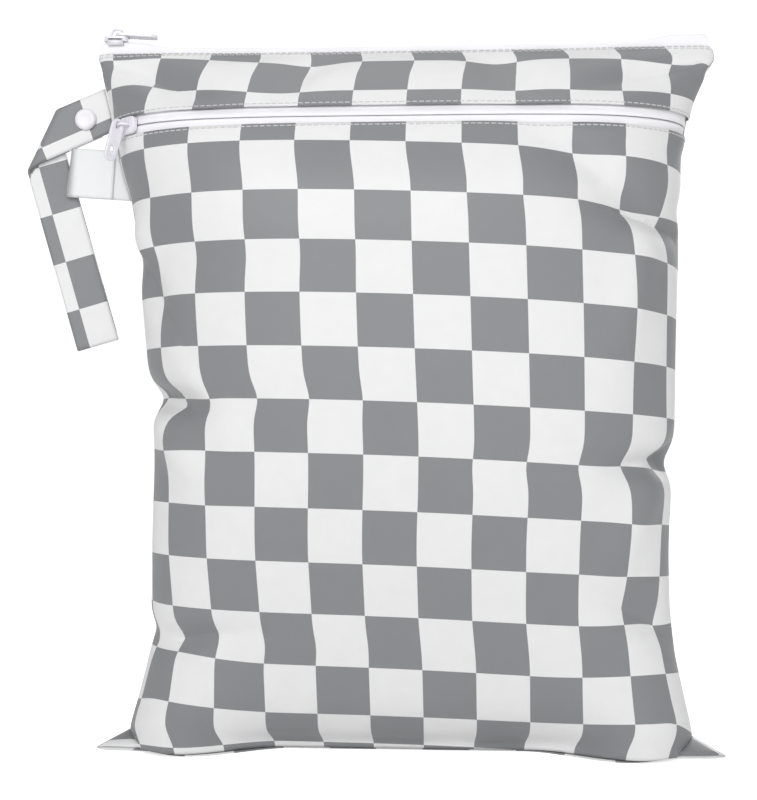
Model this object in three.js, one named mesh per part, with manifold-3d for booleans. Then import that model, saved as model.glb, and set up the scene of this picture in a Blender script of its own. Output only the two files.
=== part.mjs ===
// A two-zip wet bag of checked, coated cloth, stuffed and standing on its bottom seam.
// Millimetres, +Z up, the pocket faces -Y, and the origin is the bottom centre of the whole object.
// The cloth is drawn on a sheet: u runs across from seam to seam, v runs up from the bottom seam,
// and one function bends that sheet to the stuffed form. Every panel and zipper tape is a band of it.
import * as THREE from 'three';
import { mergeVertices } from 'three/addons/utils/BufferGeometryUtils.js';
import Module from 'manifold-3d';

const wasm = await Module();
wasm.setup();

// Sizes of the bag, cut flat and stuffed
const BAG_WIDTH = 305;
const BAG_HEIGHT = 362;
const STAND_HEIGHT = 336;
const FRONT_DEPTH = 58;
const BACK_DEPTH = 51;
const CLOTH = 1.2;
const GAP = 0.3;

// Zippers
const TAPE = 1.0;
const COIL = 1.5;
const COIL_WIDTH = 4;
const SLIT = 0.5;
const POCKET_ZIP_BELOW_TOP = 55;
const POCKET_ZIP_AT = BAG_HEIGHT - POCKET_ZIP_BELOW_TOP;
const POCKET_ZIP_SHOWN = 10;
const TAPE_UNDER_HEM = 7;
const TOP_TAPE_SHOWN = 4;
const TOP_TAPE_SHOWN_AT_ENDS = 7;
const TAPE_END = 3;
const COIL_END = 6;
const ZIPPER_ROOM = TAPE + COIL / 2 + 1.5 * GAP;

// Sliders and pulls
const SLIDER_LENGTH = 12;
const SLIDER_WIDTH = 8.4;
const SLIDER_THICK = 2.6;
const BAIL_RADIUS = 3.0;
const BAIL_WIRE = 1.2;
const BAIL_WIDTH = 1.4;
const PULL_LENGTH = 21;
const PULL_WIDTH = 6.5;
const PULL_THICK = 1.6;
const EYE_SIZE = 2.5;
const EYE_LENGTH = 3.6;
const CROSSBAR = 1.3;
const GRIP_HOLE_LENGTH = 4;
const GRIP_HOLE_WIDTH = 2.2;
const PULL_ROUNDING = 0.9;
const POCKET_SLIDER_IN = 26;
const TOP_SLIDER_IN = 13;
const POCKET_PULL_TILT = 14;
const TOP_PULL_DROP = 3;

// Strap, snap and tag
const STRAP_WIDTH = 21;
const STRAP_ABOVE_ZIP = 15;
const STRAP_AT = POCKET_ZIP_AT + STRAP_ABOVE_ZIP;
const STRAP_SLOPE = 22.6;
const STRAP_TO_FOLD = 33.5;
const STRAP_HANG = 110;
const STRAP_TAIL = 27;
const STRAP_FOLD_LEAN = 48.3;
const FOLD_CLOSE_FROM = 1;
const FLAT_BEFORE_FOLD = 4;
const FLAT_AFTER_FOLD = 6;
const SNAP_AT = 12.7;
const SNAP_DIAMETER = 10.5;
const SNAP_HEIGHT = 2.2;
const SNAP_POST = 3;
const SOCKET_DIAMETER = 9.5;
const SOCKET_HEIGHT = 2;
const TAG_BELOW_ZIP = 20;
const TAG_AT = POCKET_ZIP_AT - TAG_BELOW_ZIP;
const TAG_WIDTH = 24;
const TAG_LENGTH = 23;
const TAG_SHORT = 2.5;
const TAG_THICK = 1.0;
const TAG_SLOPE = -4;
const SEWN_GAP = 0.6;

// How finely the sheet is cut into facets
const COLUMNS = 24;
const POCKET_ROWS = 20;
const UPPER_ROWS = 3;

const SKIN = CLOTH + GAP / 2;
const HALF = BAG_WIDTH / 2;
const DEGREE = Math.PI / 180;

// Reads a table written with its column names first, one row for each section, pinch or fold.
function table(columns, rows) {
  const names = columns.split(' ');
  return rows.map((row) => Object.fromEntries(names.map((name, k) => [name, row[k]])));
}

// The front, by share of the flat height: half width, the bag's lean to the right, the side seam's
// step forward and height, then the reach and height of the cloth at the middle and near the corners,
// and how late it turns back.
const FRONT = table('at width sway seam seamRise reach rise corner cornerRise turn', [
  [0, 1.03, -0.05, 0.3, 0.012, 0.16, 0, 0.56, 0, 16],
  [0.017, 0.995, -0.045, 0.3, 0.014, 0.2, 0.012, 0.58, 0.004, 12],
  [0.05, 0.92, -0.03, 0.24, 0.02, 0.35, 0.036, 0.615, 0.026, 8],
  [0.083, 0.875, -0.02, 0.18, 0.036, 0.47, 0.064, 0.64, 0.052, 5.2],
  [0.149, 0.853, -0.02, 0.08, 0.104, 0.59, 0.132, 0.67, 0.125, 4],
  [0.215, 0.83, -0.025, 0.03, 0.197, 0.69, 0.206, 0.72, 0.203, 3.2],
  [0.282, 0.826, -0.014, 0.01, 0.281, 0.8, 0.282, 0.81, 0.282, 2.8],
  [0.414, 0.828, 0, 0, 0.43, 0.95, 0.43, 0.95, 0.43, 2.5],
  [0.547, 0.843, -0.01, 0, 0.573, 1, 0.573, 1, 0.573, 2.4],
  [0.68, 0.863, -0.02, 0, 0.715, 1, 0.715, 1, 0.715, 2.6],
  [0.746, 0.876, -0.025, 0, 0.781, 0.957, 0.781, 0.957, 0.781, 2.8],
  [0.812, 0.897, -0.044, 0, 0.85, 0.82, 0.85, 0.82, 0.85, 3.2],
  [0.863, 0.92, -0.044, 0, 0.902, 0.65, 0.902, 0.65, 0.902, 4],
  [0.912, 0.95, -0.036, 0, 0.947, 0.46, 0.947, 0.45, 0.947, 5.5],
  [0.953, 0.982, -0.02, 0, 0.977, 0.28, 0.977, 0.27, 0.977, 9],
  [1, 0.988, -0.034, 0, 1.003, 0.07, 1, 0.07, 1.002, 18],
]);

// The back: how much of the sheet still lies under the bag, and its reach and height as above.
const BACK = table('at under reach rise corner cornerRise turn', [
  [0, 1, 0.08, 0, 0.2, 0, 16],
  [0.058, 0.2, 0.22, 0, 0.3, 0, 7],
  [0.13, 0, 0.52, 0.066, 0.44, 0.02, 4.2],
  [0.2, 0, 0.73, 0.138, 0.6, 0.1, 3.4],
  [0.265, 0, 0.86, 0.214, 0.78, 0.194, 3],
  [0.33, 0, 0.93, 0.29, 0.9, 0.28, 2.8],
  [0.47, 0, 1, 0.44, 1, 0.44, 2.6],
  [0.61, 0, 1, 0.59, 1, 0.59, 2.6],
  [0.725, 0, 0.93, 0.716, 0.93, 0.716, 2.8],
  [0.83, 0, 0.7, 0.824, 0.7, 0.824, 3.3],
  [0.91, 0, 0.4, 0.906, 0.4, 0.906, 5.5],
  [0.953, 0, 0.24, 0.951, 0.24, 0.951, 9],
  [1, 0, 0.08, 1, 0.08, 1.002, 18],
]);

// Pinches that draw a side seam inward: side, place and reach as shares of the height, and depth
// as a share of the half width.
const PINCHES = table('side at spread depth', [
  [-1, 0.48, 0.022, 0.034],
  [-1, 0.66, 0.03, 0.014],
  [-1, 0.17, 0.02, 0.015],
  [1, 0.395, 0.022, 0.026],
  [1, 0.735, 0.025, 0.012],
  [1, 0.945, 0.018, 0.022],
]);

// Folds: centre as shares of the half width and height, lean from level in degrees, half length and
// half breadth as shares of the half width, and depth as a share of the front depth, inward negative.
const FRONT_FOLDS = table('across up lean long broad deep', [
  [-0.84, 0.68, 70, 0.11, 0.07, 0.09],
  [-0.78, 0.61, -55, 0.3, 0.06, -0.1],
  [-0.68, 0.54, -60, 0.26, 0.06, 0.06],
  [-0.82, 0.475, -8, 0.2, 0.05, -0.14],
  [-0.76, 0.42, -40, 0.2, 0.06, 0.06],
  [-0.7, 0.17, 12, 0.2, 0.05, -0.08],
  [0.6, 0.76, -38, 0.24, 0.07, -0.09],
  [0.76, 0.71, -12, 0.2, 0.05, -0.12],
  [0.68, 0.62, 75, 0.22, 0.07, 0.06],
  [0.84, 0.4, 4, 0.2, 0.05, -0.14],
  [0.74, 0.35, 60, 0.2, 0.07, 0.06],
  [0.76, 0.2, -25, 0.18, 0.06, -0.08],
  [-0.74, 0.925, -35, 0.2, 0.06, -0.1],
  [-0.3, 0.93, 60, 0.14, 0.08, -0.05],
  [0.3, 0.93, -60, 0.14, 0.08, -0.05],
  [0.76, 0.925, 20, 0.2, 0.06, -0.09],
]);
const BACK_FOLDS = table('across up lean long broad deep', [
  [-0.72, 0.62, -30, 0.3, 0.07, -0.12],
  [0.72, 0.5, 35, 0.3, 0.07, -0.12],
  [-0.6, 0.3, 40, 0.28, 0.08, -0.1],
  [0.62, 0.26, -35, 0.28, 0.08, -0.1],
  [0.1, 0.88, 80, 0.18, 0.1, -0.08],
]);

const clamp01 = (value) => Math.min(1, Math.max(0, value));
const mix = (a, b, share) => a + (b - a) * share;
const smooth = (low, high, value) => {
  const share = clamp01((value - low) / (high - low));
  return share * share * (3 - 2 * share);
};
const bell = (distance) => Math.exp(-distance * distance);

// Reads one column of a table at any place, along a cubic that never overshoots its rows.
function readColumn(table, column, at) {
  const last = table.length - 1;
  if (at >= table[last].at) return table[last][column];
  let i = 0;
  while (at > table[i + 1].at) i += 1;
  const slope = (k) => (table[k + 1][column] - table[k][column]) / (table[k + 1].at - table[k].at);
  const tangent = (k) => {
    if (k === 0 || k === last) return k === 0 ? slope(0) : slope(last - 1);
    const before = slope(k - 1);
    const after = slope(k);
    return before * after <= 0 ? 0 : (2 * before * after) / (before + after);
  };
  const span = table[i + 1].at - table[i].at;
  const t = clamp01((at - table[i].at) / span);
  const a = table[i][column];
  const b = table[i + 1][column];
  return a * (1 + 2 * t) * (1 - t) ** 2 + b * t * t * (3 - 2 * t)
    + span * (tangent(i) * t * (1 - t) ** 2 - tangent(i + 1) * t * t * (1 - t));
}

// Half of a level section: a line of unit length that turns back through 90 degrees, late if turn is high.
// It gives how far out and how far in front of the seam the cloth is, both from 0 to 1.
function turnedLine(share, turn) {
  const steps = 40;
  const line = { out: 0, back: 0 };
  const at = { out: 0, back: 0 };
  for (let k = 0; k < steps; k += 1) {
    const middle = (k + 0.5) / steps;
    const angle = (Math.PI / 2) * middle ** turn;
    const part = clamp01(share * steps - k);
    line.out += Math.cos(angle);
    line.back += Math.sin(angle);
    at.out += Math.cos(angle) * part;
    at.back += Math.sin(angle) * part;
  }
  return { out: at.out / line.out, front: 1 - at.back / line.back };
}

function seamHalfWidth(side, up) {
  let width = readColumn(FRONT, 'width', up);
  for (const pinch of PINCHES) {
    if (pinch.side === side) width -= pinch.depth * bell((up - pinch.at) / pinch.spread);
  }
  return width * HALF - SKIN;
}

// A point of the bare form on one face, facing -1 for the front and 1 for the back, before its folds.
function bareForm(facing, u, v) {
  const table = facing < 0 ? FRONT : BACK;
  const up = v / BAG_HEIGHT;
  const side = Math.sign(u) || 1;
  const share = Math.min(1, Math.abs(u) / HALF);
  const line = turnedLine(share, readColumn(table, 'turn', up));
  const cornered = smooth(0.4, 0.82, share);
  const nearSeam = smooth(0.8, 1, share);
  const depth = facing < 0 ? FRONT_DEPTH : BACK_DEPTH;
  const reachShare = mix(readColumn(table, 'reach', up), readColumn(table, 'corner', up), cornered);
  const reach = Math.max(reachShare * depth - SKIN, ZIPPER_ROOM);
  const riseShare = mix(readColumn(table, 'rise', up), readColumn(table, 'cornerRise', up), cornered);
  const rise = mix(riseShare, readColumn(FRONT, 'seamRise', up), nearSeam) * STAND_HEIGHT + SKIN;
  const seamStep = (place) => -readColumn(FRONT, 'seam', place) * FRONT_DEPTH;
  const seam = seamStep(up);
  const spread = smooth(0.9, 0.975, up) * ZIPPER_ROOM;
  const seamEdge = seam + facing * spread;
  let y = seamEdge + (facing * reach - seamEdge) * line.front;
  if (facing > 0) {
    // under the bag the back starts from the bottom seam, and at its side it keeps to the side seam
    const fromBottom = bareForm(-1, u, 0).y + nearSeam * (seam - seamStep(0));
    y = mix(y, fromBottom, readColumn(BACK, 'under', up));
  }
  const overTop = Math.max(0, v - BAG_HEIGHT);
  const sway = readColumn(FRONT, 'sway', up) * HALF;
  return new THREE.Vector3(side * seamHalfWidth(side, up) * line.out + sway, y, rise + overTop);
}

function foldDepth(folds, u, v) {
  let depth = 0;
  for (const fold of folds) {
    const x = u - fold.across * HALF;
    const z = v - fold.up * BAG_HEIGHT;
    const lean = fold.lean * DEGREE;
    const along = (x * Math.cos(lean) + z * Math.sin(lean)) / (fold.long * HALF);
    const across = (z * Math.cos(lean) - x * Math.sin(lean)) / (fold.broad * HALF);
    depth += fold.deep * FRONT_DEPTH * bell(along) * bell(across);
  }
  const fromSeam = smooth(0, 0.09, 1 - Math.abs(u) / HALF);
  const fromZip = smooth(0, 0.03, Math.abs(v - POCKET_ZIP_AT) / BAG_HEIGHT);
  const fromTop = smooth(0, 0.05, 1 - v / BAG_HEIGHT);
  const fromBottom = smooth(0.03, 0.1, v / BAG_HEIGHT);
  return depth * fromSeam * fromZip * fromTop * fromBottom;
}

function outward(form, u, v) {
  const h = 0.5;
  const alongU = form(Math.min(HALF, u + h), v).sub(form(Math.max(-HALF, u - h), v));
  const alongV = form(u, v + h).sub(form(u, Math.max(0, v - h)));
  return alongU.cross(alongV).normalize();
}

// The stuffed form with its folds, and any layer of cloth beside it: offset is measured outward.
function folded(facing, u, v) {
  const bare = (a, b) => bareForm(facing, -facing * a, b);
  const folds = facing < 0 ? FRONT_FOLDS : BACK_FOLDS;
  return bare(u, v).addScaledVector(outward(bare, u, v), foldDepth(folds, u, v));
}

function onBag(facing, u, v, offset) {
  const form = (a, b) => folded(facing, a, b);
  const out = outward(form, u, v);
  // at a side seam the thickness of one panel never leans over the other panel
  const leansOver = facing * out.y < 0 && Math.abs(u) > HALF - COIL_END;
  if (leansOver) out.setY(0).normalize();
  return form(u, v).addScaledVector(out, offset);
}

function cloth(colour, roughness) {
  return new THREE.MeshStandardMaterial({ color: colour, roughness, metalness: 0 });
}

const checks = cloth(0xb9babc, 0.55);
const zipperWhite = cloth(0xf4f3f6, 0.6);
const moulded = cloth(0xf6f4f8, 0.35);
const tagWhite = cloth(0xf2f2f2, 0.7);

// A closed sheet over a grid of rows and columns, between two offsets of one surface.
function sheet(name, surface, us, vs, low, high, material) {
  const positions = [];
  const wide = us.length;
  const put = (offset) => {
    for (const v of vs) {
      for (const u of us) positions.push(...surface(u, v, offset).toArray());
    }
  };
  put(high);
  put(low);
  const inner = wide * vs.length;
  const faces = [];
  const quad = (a, b, c, d) => faces.push(a, b, c, a, c, d);
  for (let j = 0; j < vs.length - 1; j += 1) {
    for (let i = 0; i < wide - 1; i += 1) {
      const a = j * wide + i;
      quad(a, a + 1, a + wide + 1, a + wide);
      quad(inner + a, inner + a + wide, inner + a + wide + 1, inner + a + 1);
    }
  }
  const rim = [];
  for (let i = 0; i < wide - 1; i += 1) rim.push(i);
  for (let j = 0; j < vs.length - 1; j += 1) rim.push(j * wide + wide - 1);
  for (let i = wide - 1; i > 0; i -= 1) rim.push((vs.length - 1) * wide + i);
  for (let j = vs.length - 1; j > 0; j -= 1) rim.push(j * wide);
  rim.forEach((a, k) => {
    const b = rim[(k + 1) % rim.length];
    quad(a, a + inner, b + inner, b);
  });
  const geometry = new THREE.BufferGeometry();
  geometry.setAttribute('position', new THREE.Float32BufferAttribute(positions, 3));
  geometry.setIndex(faces);
  return named(name, geometry, material);
}

function named(name, geometry, material) {
  const mesh = new THREE.Mesh(geometry, material);
  mesh.name = name;
  return mesh;
}

function spaced(low, high, count) {
  return Array.from({ length: count + 1 }, (_, k) => mix(low, high, k / count));
}

const pocketHem = POCKET_ZIP_AT - POCKET_ZIP_SHOWN / 2;
const upperHem = POCKET_ZIP_AT + POCKET_ZIP_SHOWN / 2;

// Every layer is cut on the same columns, so that they bend alike. A tape or coil just has fewer.
const seamColumns = [GAP / 2, TAPE_END, COIL_END].map((end) => HALF - end);
const innerHalf = HALF - COIL_END - SLIDER_WIDTH;
const innerColumns = spaced(-innerHalf, innerHalf, COLUMNS);
const panelColumns = [...seamColumns.map((u) => -u), ...innerColumns, ...seamColumns.reverse()];

function columnsShortBy(end) {
  return panelColumns.filter((u) => Math.abs(u) < HALF - end + GAP);
}

function panels() {
  // rows lie closer together toward the bottom, and the back has the same rows as the front
  const lowTop = pocketHem - TAPE_UNDER_HEM;
  const lowRows = spaced(0, 1, POCKET_ROWS).map((share) => mix(GAP / 2, lowTop, share ** 1.3));
  const pocketRows = [...lowRows, pocketHem];
  const betweenTapes = spaced(upperHem + TAPE_UNDER_HEM, BAG_HEIGHT - TAPE_UNDER_HEM, UPPER_ROWS);
  const upperRows = [upperHem, ...betweenTapes, BAG_HEIGHT];
  const backRows = [...pocketRows, ...upperRows];
  const front = (u, v, offset) => onBag(-1, u, v, offset);
  const back = (u, v, offset) => onBag(1, u, v, offset);
  return [
    sheet('pocket_panel', front, panelColumns, pocketRows, GAP / 2, SKIN, checks),
    sheet('upper_front_panel', front, panelColumns, upperRows, GAP / 2, SKIN, checks),
    sheet('back_panel', back, panelColumns, backRows, GAP / 2, SKIN, checks),
  ];
}

function pocketZipper() {
  const front = (u, v, offset) => onBag(-1, u, v, offset);
  const across = columnsShortBy(TAPE_END);
  const lower = [pocketHem - TAPE_UNDER_HEM, pocketHem, POCKET_ZIP_AT - SLIT / 2];
  const upper = [POCKET_ZIP_AT + SLIT / 2, upperHem, upperHem + TAPE_UNDER_HEM];
  const teeth = [POCKET_ZIP_AT - COIL_WIDTH / 2, POCKET_ZIP_AT + COIL_WIDTH / 2];
  const outer = -GAP / 2;
  const behind = outer - TAPE - GAP;
  return [
    sheet('pocket_zip_lower_tape', front, across, lower, outer - TAPE, outer, zipperWhite),
    sheet('pocket_zip_upper_tape', front, across, upper, outer - TAPE, outer, zipperWhite),
    sheet('pocket_zip_coil', front, columnsShortBy(COIL_END), teeth, behind - COIL, behind, zipperWhite),
  ];
}

function topTapeShown(u) {
  return mix(TOP_TAPE_SHOWN, TOP_TAPE_SHOWN_AT_ENDS, smooth(0.7, 0.86, Math.abs(u) / HALF));
}

function topZipper() {
  // the rows above the hem follow the tape's own height, which grows toward both ends
  const rise = (facing) => (u, v, offset) => {
    const above = v > BAG_HEIGHT ? topTapeShown(u) : v - BAG_HEIGHT;
    return onBag(facing, u, BAG_HEIGHT + above, offset);
  };
  const rows = [BAG_HEIGHT - TAPE_UNDER_HEM, BAG_HEIGHT, BAG_HEIGHT + TOP_TAPE_SHOWN];
  const across = columnsShortBy(TAPE_END);
  const outer = -GAP / 2;
  // the coil hangs in the middle between the two tapes
  const between = (u, v, offset) => {
    const front = onBag(-1, u, v, outer - TAPE - GAP);
    return new THREE.Vector3(front.x, -offset, front.z + topTapeShown(u));
  };
  const teeth = [BAG_HEIGHT - COIL_WIDTH, BAG_HEIGHT];
  return [
    sheet('top_zip_front_tape', rise(-1), across, rows, outer - TAPE, outer, zipperWhite),
    sheet('top_zip_back_tape', rise(1), across, rows, outer - TAPE, outer, zipperWhite),
    sheet('top_zip_coil', between, columnsShortBy(COIL_END), teeth, -COIL / 2, COIL / 2, zipperWhite),
  ];
}

function manifold(geometry) {
  geometry.deleteAttribute('normal');
  geometry.deleteAttribute('uv');
  const merged = mergeVertices(geometry, 1e-4);
  return new wasm.Manifold(new wasm.Mesh({
    numProp: 3,
    vertProperties: Float32Array.from(merged.attributes.position.array),
    triVerts: Uint32Array.from(merged.index.array),
  }));
}

function fromManifold(solid) {
  const mesh = solid.getMesh();
  const geometry = new THREE.BufferGeometry();
  geometry.setAttribute('position', new THREE.BufferAttribute(mesh.vertProperties, 3));
  geometry.setIndex(new THREE.BufferAttribute(mesh.triVerts, 1));
  return geometry;
}

function extruded(shape, depth, curveSegments) {
  const geometry = new THREE.ExtrudeGeometry(shape, { depth, bevelEnabled: false, curveSegments });
  geometry.translate(0, 0, -depth / 2);
  return geometry;
}

function roundedRectangle(path, x0, x1, y0, y1, r) {
  path.moveTo(x0 + r, y0);
  path.lineTo(x1 - r, y0);
  path.absarc(x1 - r, y0 + r, r, -Math.PI / 2, 0, false);
  path.lineTo(x1, y1 - r);
  path.absarc(x1 - r, y1 - r, r, 0, Math.PI / 2, false);
  path.lineTo(x0 + r, y1);
  path.absarc(x0 + r, y1 - r, r, Math.PI / 2, Math.PI, false);
  path.lineTo(x0, y0 + r);
  path.absarc(x0 + r, y0 + r, r, Math.PI, Math.PI * 1.5, false);
  return path;
}

// The slider lies along x with its underside at z 0. The bail is a half ring whose centre is bailHeight up.
const bailHeight = SLIDER_THICK + CROSSBAR;

function sliderGeometry(cheekDepth, cheekGap) {
  const half = SLIDER_LENGTH / 2;
  const halfWide = SLIDER_WIDTH / 2;
  const outline = roundedRectangle(new THREE.Shape(), -half, half, -halfWide, halfWide, halfWide / 2);
  const body = extruded(outline, SLIDER_THICK, 4).translate(0, 0, SLIDER_THICK / 2);
  const arch = new THREE.Shape();
  const outer = BAIL_RADIUS + BAIL_WIRE / 2;
  const inner = BAIL_RADIUS - BAIL_WIRE / 2;
  const foot = -(CROSSBAR + SLIDER_THICK / 2);
  arch.moveTo(outer, foot);
  arch.absarc(0, 0, outer, 0, Math.PI, false);
  arch.lineTo(-outer, foot);
  arch.lineTo(-inner, foot);
  arch.absarc(0, 0, inner, Math.PI, 0, true);
  arch.lineTo(inner, foot);
  const bail = extruded(arch, BAIL_WIDTH, 8).rotateX(Math.PI / 2).translate(0, 0, bailHeight);
  let solid = manifold(body).add(manifold(bail));
  if (cheekDepth > 0) {
    const thick = (SLIDER_WIDTH - cheekGap) / 2;
    for (const side of [-1, 1]) {
      const tall = cheekDepth + SLIDER_THICK / 2;
      const cheek = new THREE.BoxGeometry(SLIDER_LENGTH - halfWide, thick, tall);
      cheek.translate(0, side * (halfWide - thick / 2), tall / 2 - cheekDepth);
      solid = solid.add(manifold(cheek));
    }
  }
  return fromManifold(solid);
}

// The pull lies along x from its crossbar, whose centre is the origin, and is flat in z.
function pullGeometry() {
  const start = -CROSSBAR / 2;
  const end = start + PULL_LENGTH;
  const wide = PULL_WIDTH / 2;
  const outline = roundedRectangle(new THREE.Shape(), start, end, -wide, wide, wide * PULL_ROUNDING);
  const eye = new THREE.Path();
  eye.moveTo(-start, -EYE_SIZE / 2);
  eye.lineTo(-start + EYE_LENGTH, -EYE_SIZE / 2);
  eye.lineTo(-start + EYE_LENGTH, EYE_SIZE / 2);
  eye.lineTo(-start, EYE_SIZE / 2);
  outline.holes.push(eye);
  const gripEnd = end - wide;
  const grip = GRIP_HOLE_WIDTH / 2;
  const hole = new THREE.Path();
  outline.holes.push(
    roundedRectangle(hole, gripEnd - GRIP_HOLE_LENGTH, gripEnd, -grip, grip, grip * PULL_ROUNDING),
  );
  return fromManifold(manifold(extruded(outline, PULL_THICK, 5)));
}

// Places a slider on the front's tape: x along the zipper, z straight out of the cloth.
function placeOn(mesh, centre, alongZip, out) {
  const across = new THREE.Vector3().crossVectors(out, alongZip).normalize();
  const along = new THREE.Vector3().crossVectors(across, out).normalize();
  mesh.quaternion.setFromRotationMatrix(new THREE.Matrix4().makeBasis(along, across, out));
  mesh.position.copy(centre);
}

function pocketSliderAndPull() {
  const u = -(HALF - POCKET_SLIDER_IN);
  const out = outward((a, b) => folded(-1, a, b), u, POCKET_ZIP_AT);
  const seat = onBag(-1, u, POCKET_ZIP_AT, GAP);
  const alongZip = folded(-1, u + 1, POCKET_ZIP_AT).sub(folded(-1, u - 1, POCKET_ZIP_AT));
  const slider = named('pocket_zip_slider', sliderGeometry(0, 0), moulded);
  placeOn(slider, seat, alongZip, out);
  // the pull's eye is threaded on the top of the bail, and the pull hangs down, leaning a little outward
  const across = new THREE.Vector3().crossVectors(out, alongZip).normalize();
  const axle = new THREE.Vector3().crossVectors(across, out).normalize();
  const bar = seat.clone().addScaledVector(out, bailHeight + BAIL_RADIUS);
  const down = across.clone().negate().applyAxisAngle(axle, -POCKET_PULL_TILT * DEGREE);
  const pull = named('pocket_zip_pull', pullGeometry(), moulded);
  const hang = CROSSBAR / 2 + GAP + BAIL_WIDTH / 2;
  const wide = new THREE.Vector3().crossVectors(axle, down);
  pull.quaternion.setFromRotationMatrix(new THREE.Matrix4().makeBasis(down, wide, axle));
  pull.position.copy(bar).addScaledVector(down, -hang);
  return [slider, pull];
}

function topSliderAndPull() {
  const u = -(HALF - TOP_SLIDER_IN);
  const hem = folded(-1, u, BAG_HEIGHT);
  const seat = new THREE.Vector3(hem.x, 0, hem.z + topTapeShown(u) + GAP);
  const next = folded(-1, u + 1, BAG_HEIGHT);
  const alongZip = new THREE.Vector3(next.x - hem.x, 0, next.z - hem.z).normalize();
  const out = new THREE.Vector3().crossVectors(alongZip, new THREE.Vector3(0, 1, 0)).normalize();
  const ridge = 2 * (Math.abs(hem.y) - GAP / 2 + GAP);
  const slider = named('top_zip_slider', sliderGeometry(TOP_TAPE_SHOWN / 2, ridge), moulded);
  placeOn(slider, seat, alongZip, out);
  const pull = named('top_zip_pull', pullGeometry(), moulded);
  const centre = seat.clone().addScaledVector(out, bailHeight);
  const lie = alongZip.clone().applyAxisAngle(new THREE.Vector3(0, 1, 0), TOP_PULL_DROP * DEGREE);
  placeOn(pull, centre, lie, new THREE.Vector3().crossVectors(lie, new THREE.Vector3(0, 1, 0)).normalize());
  return [slider, pull];
}

// Folds a flat band about a line in its plane: the far side wraps round a small cylinder and comes back.
function foldOver(point, onLine, toFar, radius, towardBack) {
  const far = (point.x - onLine.x) * toFar.x + (point.z - onLine.z) * toFar.z;
  if (far <= 0) return point;
  const angle = Math.min(Math.PI, far / radius);
  const arm = radius - towardBack * point.y;
  const rest = Math.max(0, far - Math.PI * radius);
  const along = arm * Math.sin(angle) - rest;
  return new THREE.Vector3(
    point.x + (along - far) * toFar.x,
    towardBack * (radius - arm * Math.cos(angle)),
    point.z + (along - far) * toFar.z,
  );
}

// Where a band is sewn into the left seam: the seam's outside, and the seam's own direction there.
function leftSeam(at) {
  const low = folded(-1, -HALF, at - 1);
  const high = folded(-1, -HALF, at + 1);
  const up = high.sub(low).normalize();
  const out = new THREE.Vector3(-up.z, 0, up.x);
  return { root: folded(-1, -HALF, at).addScaledVector(out, SKIN + SEWN_GAP), up, out };
}

// A flat band that starts along the seam and runs off it: x along the band, z across, y its thickness.
function bandFromSeam(name, at, slope, wide, rows, stops, bend, thick, material) {
  const seam = leftSeam(at);
  const heading = new THREE.Vector3(-Math.cos(slope * DEGREE), 0, -Math.sin(slope * DEGREE));
  const across = new THREE.Vector3(-heading.z, 0, heading.x);
  // the first edge follows the seam, which isn't quite square to the band
  const seamStart = (u) => {
    let place = at - u;
    for (let step = 0; step < 4; step += 1) {
      place += leftSeam(place).root.sub(seam.root).dot(across) - u;
    }
    return leftSeam(place).root.sub(seam.root).dot(heading);
  };
  const surface = (v, u, offset) => {
    const start = v < wide ? seamStart(u) * (1 - v / wide) : 0;
    const flat = bend(new THREE.Vector3(v + start, -offset, u));
    return seam.root.clone().addScaledVector(heading, flat.x).addScaledVector(across, flat.z)
      .add(new THREE.Vector3(0, flat.y, 0));
  };
  return sheet(name, surface, stops, spaced(-wide / 2, wide / 2, rows), -thick / 2, thick / 2, material);
}

const LAYER = CLOTH + GAP;

// Stops along the band: even steps on the flats and close ones where it folds.
function strapStops() {
  const fold = STRAP_TO_FOLD;
  const bottom = fold + STRAP_HANG;
  const end = bottom + STRAP_HANG + STRAP_TAIL;
  const lead = (STRAP_WIDTH / 2) * Math.tan(STRAP_FOLD_LEAN * DEGREE) + LAYER * 2;
  const near = (centre) => spaced(centre - lead, centre + lead, 14);
  const close = spaced(bottom - FOLD_CLOSE_FROM, bottom + LAYER * 2.2, 8);
  const front = spaced(fold + lead, bottom - FLAT_BEFORE_FOLD, 5).slice(1);
  const behind = spaced(bottom + FLAT_AFTER_FOLD, bottom + STRAP_HANG - lead, 5);
  return [0, SNAP_AT / 2, ...near(fold), ...front, ...close, ...behind, ...near(bottom + STRAP_HANG), end]
    .filter((stop, k, all) => k === 0 || stop > all[k - 1] + GAP / 3);
}

function strapAndSnap() {
  const lean = STRAP_FOLD_LEAN * DEGREE;
  const toFold = { x: Math.cos(lean), z: -Math.sin(lean) };
  const foldAt = { x: STRAP_TO_FOLD, z: 0 };
  const bottomAt = { x: STRAP_TO_FOLD + STRAP_HANG, z: 0 };
  const bend = (point) => {
    const looped = foldOver(point, bottomAt, { x: 1, z: 0 }, LAYER / 2, 1);
    return foldOver(looped, foldAt, toFold, LAYER * 1.5, 1);
  };
  const stops = strapStops();
  const strap = bandFromSeam('strap', STRAP_AT, STRAP_SLOPE, STRAP_WIDTH, 2, stops, bend, CLOTH, checks);
  const seam = leftSeam(STRAP_AT);
  const slope = STRAP_SLOPE * DEGREE;
  const heading = new THREE.Vector3(-Math.cos(slope), 0, -Math.sin(slope));
  const snapCentre = seam.root.clone().addScaledVector(heading, SNAP_AT);
  const bore = SNAP_POST / 2 + GAP;
  const hole = new THREE.CylinderGeometry(bore, bore, LAYER * 4, 16);
  hole.translate(snapCentre.x, snapCentre.y + LAYER / 2, snapCentre.z);
  strap.geometry = fromManifold(manifold(strap.geometry).subtract(manifold(hole)));
  return [strap, ...snap(snapCentre)];
}

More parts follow.
